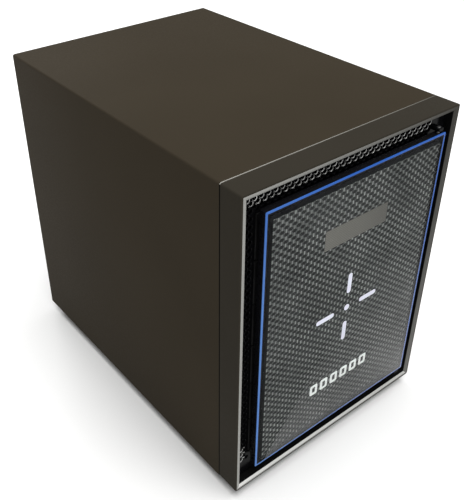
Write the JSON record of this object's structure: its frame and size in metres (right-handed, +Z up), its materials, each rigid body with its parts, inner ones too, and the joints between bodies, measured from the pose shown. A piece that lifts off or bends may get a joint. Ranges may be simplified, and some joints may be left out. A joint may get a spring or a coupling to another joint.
{
  "type": "network attached storage",
  "caption": "Upright desktop storage cabinet with a glass and mesh front door over a stack of sliding drive trays, rear fan, network, USB and mains sockets, and rubber feet.",
  "frame": {"origin": "on the floor under the middle of the whole object: the centre of the bounding box's bottom face", "axes": "+Z up, +X to the right seen from the front, the door faces -Y"},
  "size_m": [0.192, 0.288, 0.259],
  "materials": {
    "casing": "matte powder coat, dark warm grey-brown",
    "bezel": "satin painted metal, mid grey",
    "gloss_black": "polished black",
    "matte_black": "fine moulded texture",
    "tray_plastic": "fine moulded texture, black",
    "lever_plastic": "satin moulded, dark grey",
    "glass": "dark tinted plate with a sloping polished edge",
    "rim_blue": "translucent blue light strip",
    "mesh_steel": "dark plated perforated sheet",
    "display": "unlit panel",
    "light_guide": "frosted white",
    "steel": "zinc plated sheet",
    "psu_steel": "zinc plated sheet",
    "drive_metal": "cast and brushed",
    "heatsink_metal": "anodised",
    "circuit": "green solder mask",
    "rubber": "moulded",
    "button": "satin moulded"
  },
  "bodies": {
    "cabinet": {"wrap_cover": "casing", "base_pan": "casing", "rear_panel": "casing", "front_bezel": "bezel", "front_fascia": "gloss_black", "foot_front_left": "rubber", "foot_front_right": "rubber", "foot_rear_left": "rubber", "foot_rear_right": "rubber", "thumbscrew_left": "steel", "thumbscrew_right": "steel", "hinge_pin_top": "steel", "hinge_pin_bottom": "steel", "hinge_bracket_top": "gloss_black", "hinge_bracket_bottom": "gloss_black", "catch_magnet": "steel", "cage_left": "steel", "cage_right": "steel", "cage_top": "steel", "backplane": "circuit", "main_board": "circuit", "heatsink": "heatsink_metal", "lan_port_upper": "steel", "lan_port_lower": "steel", "usb_ports_rear": "steel", "psu_housing": "psu_steel", "power_inlet": "matte_black", "fan_frame": "matte_black", "fan_guard": "steel", "front_io_board": "circuit", "front_usb_port": "steel"},
    "door": {"door_frame": "matte_black", "door_rim": "rim_blue", "door_glass": "glass", "door_mesh": "mesh_steel", "display_module": "display", "touch_light_guide": "light_guide", "control_board": "circuit"},
    "tray_1": {"tray_1": "tray_plastic", "drive_1": "drive_metal"},
    "lever_1": {"lever_1": "lever_plastic"},
    "tray_2": {"tray_2": "tray_plastic", "drive_2": "drive_metal"},
    "lever_2": {"lever_2": "lever_plastic"},
    "tray_3": {"tray_3": "tray_plastic", "drive_3": "drive_metal"},
    "lever_3": {"lever_3": "lever_plastic"},
    "tray_4": {"tray_4": "tray_plastic", "drive_4": "drive_metal"},
    "lever_4": {"lever_4": "lever_plastic"},
    "tray_5": {"tray_5": "tray_plastic", "drive_5": "drive_metal"},
    "lever_5": {"lever_5": "lever_plastic"},
    "tray_6": {"tray_6": "tray_plastic", "drive_6": "drive_metal"},
    "lever_6": {"lever_6": "lever_plastic"},
    "fan_rotor": {"fan_rotor": "matte_black"},
    "power_button": {"power_button": "button"},
    "backup_button": {"backup_button": "button"},
    "reset_button": {"reset_button": "button"}
  },
  "joints": [
    {"name": "door_hinge", "type": "hinge", "parent": "cabinet", "child": "door", "pos_m": [0.0759, -0.1384, 0.136], "axis": [0, 0, 1], "range_deg": [0, 120]},
    {"name": "tray_1_slide", "type": "slide", "parent": "cabinet", "child": "tray_1", "axis": [0, -1, 0], "range_m": [0, 0.112]},
    {"name": "lever_1_pivot", "type": "hinge", "parent": "tray_1", "child": "lever_1", "pos_m": [0.02, -0.1306, 0.0513], "axis": [0, 0, 1], "range_deg": [0, 40]},
    {"name": "tray_2_slide", "type": "slide", "parent": "cabinet", "child": "tray_2", "axis": [0, -1, 0], "range_m": [0, 0.112]},
    {"name": "lever_2_pivot", "type": "hinge", "parent": "tray_2", "child": "lever_2", "pos_m": [0.02, -0.1306, 0.0853], "axis": [0, 0, 1], "range_deg": [0, 40]},
    {"name": "tray_3_slide", "type": "slide", "parent": "cabinet", "child": "tray_3", "axis": [0, -1, 0], "range_m": [0, 0.112]},
    {"name": "lever_3_pivot", "type": "hinge", "parent": "tray_3", "child": "lever_3", "pos_m": [0.02, -0.1306, 0.1193], "axis": [0, 0, 1], "range_deg": [0, 40]},
    {"name": "tray_4_slide", "type": "slide", "parent": "cabinet", "child": "tray_4", "axis": [0, -1, 0], "range_m": [0, 0.112]},
    {"name": "lever_4_pivot", "type": "hinge", "parent": "tray_4", "child": "lever_4", "pos_m": [0.02, -0.1306, 0.1533], "axis": [0, 0, 1], "range_deg": [0, 40]},
    {"name": "tray_5_slide", "type": "slide", "parent": "cabinet", "child": "tray_5", "axis": [0, -1, 0], "range_m": [0, 0.112]},
    {"name": "lever_5_pivot", "type": "hinge", "parent": "tray_5", "child": "lever_5", "pos_m": [0.02, -0.1306, 0.1873], "axis": [0, 0, 1], "range_deg": [0, 40]},
    {"name": "tray_6_slide", "type": "slide", "parent": "cabinet", "child": "tray_6", "axis": [0, -1, 0], "range_m": [0, 0.112]},
    {"name": "lever_6_pivot", "type": "hinge", "parent": "tray_6", "child": "lever_6", "pos_m": [0.02, -0.1306, 0.2213], "axis": [0, 0, 1], "range_deg": [0, 40]},
    {"name": "fan_spin", "type": "hinge", "parent": "cabinet", "child": "fan_rotor", "pos_m": [-0.025, 0.1225, 0.15], "axis": [0, 1, 0], "continuous": true},
    {"name": "power_button_press", "type": "slide", "parent": "cabinet", "child": "power_button", "axis": [0, 1, 0], "range_m": [0, 0.0012], "stiffness_N_per_m": 400, "springref_m": -0.001},
    {"name": "backup_button_press", "type": "slide", "parent": "cabinet", "child": "backup_button", "axis": [0, 1, 0], "range_m": [0, 0.0012], "stiffness_N_per_m": 400, "springref_m": -0.001},
    {"name": "reset_button_press", "type": "slide", "parent": "cabinet", "child": "reset_button", "axis": [0, -1, 0], "range_m": [0, 0.0008], "stiffness_N_per_m": 400, "springref_m": -0.001}
  ],
  "couplings": [
    {"joint": "tray_1_slide", "follows": "door_hinge", "m_per_rad": 0.0533},
    {"joint": "lever_1_pivot", "follows": "door_hinge", "ratio": 0.333},
    {"joint": "tray_2_slide", "follows": "door_hinge", "m_per_rad": 0.0533},
    {"joint": "lever_2_pivot", "follows": "door_hinge", "ratio": 0.333},
    {"joint": "tray_3_slide", "follows": "door_hinge", "m_per_rad": 0.0533},
    {"joint": "lever_3_pivot", "follows": "door_hinge", "ratio": 0.333},
    {"joint": "tray_4_slide", "follows": "door_hinge", "m_per_rad": 0.0533},
    {"joint": "lever_4_pivot", "follows": "door_hinge", "ratio": 0.333},
    {"joint": "tray_5_slide", "follows": "door_hinge", "m_per_rad": 0.0533},
    {"joint": "lever_5_pivot", "follows": "door_hinge", "ratio": 0.333},
    {"joint": "tray_6_slide", "follows": "door_hinge", "m_per_rad": 0.0533},
    {"joint": "lever_6_pivot", "follows": "door_hinge", "ratio": 0.333}
  ]
}
